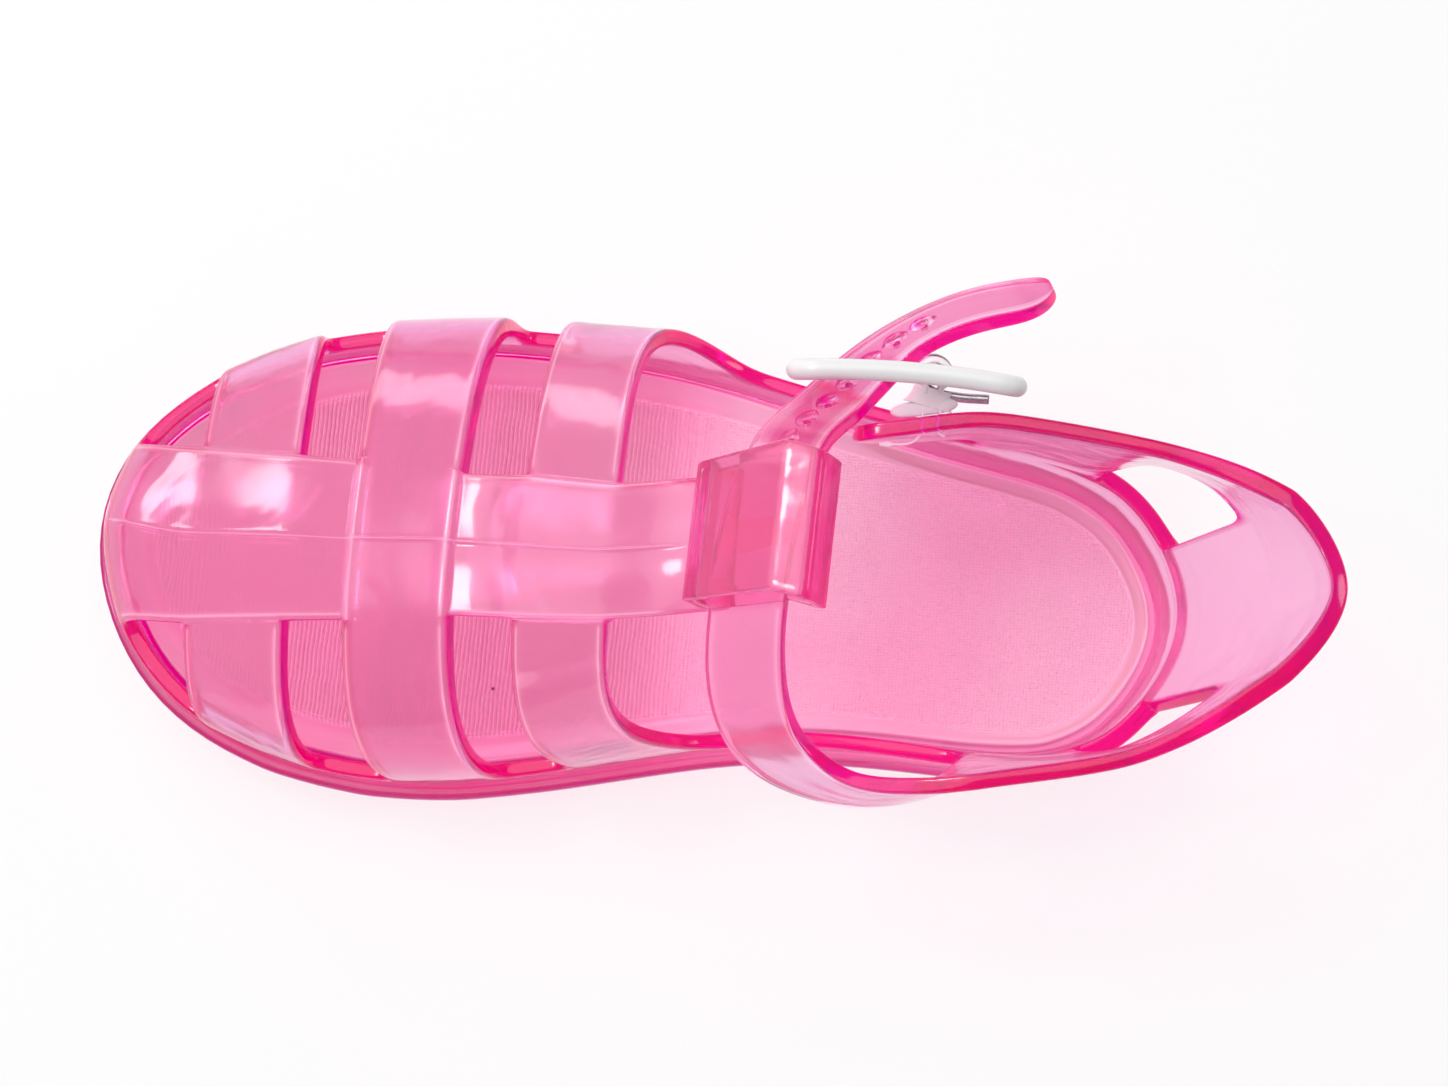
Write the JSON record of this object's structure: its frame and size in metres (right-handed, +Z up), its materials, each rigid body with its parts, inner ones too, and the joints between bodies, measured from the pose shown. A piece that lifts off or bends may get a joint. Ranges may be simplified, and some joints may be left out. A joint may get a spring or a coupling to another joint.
{
  "type": "jelly beach sandal",
  "caption": "Child's right-foot jelly beach sandal in clear pink moulded PVC, with a T-strap cage, a closed heel band and an ankle strap held by a white buckle.",
  "frame": {"origin": "on the ground below the middle of the whole shoe's box", "axes": "+X from toe to heel, +Y towards the outer side of the right foot, +Z up"},
  "size_m": [0.1724, 0.0738, 0.0651],
  "materials": {
    "clear_pvc": "clear, glossy",
    "white_paint": "gloss",
    "steel": "plain"
  },
  "bodies": {
    "root": {"sole": "clear_pvc", "upper": "clear_pvc", "buckle_frame": "white_paint", "buckle_clip": "white_paint", "buckle_prong": "steel"}
  },
  "joints": []
}
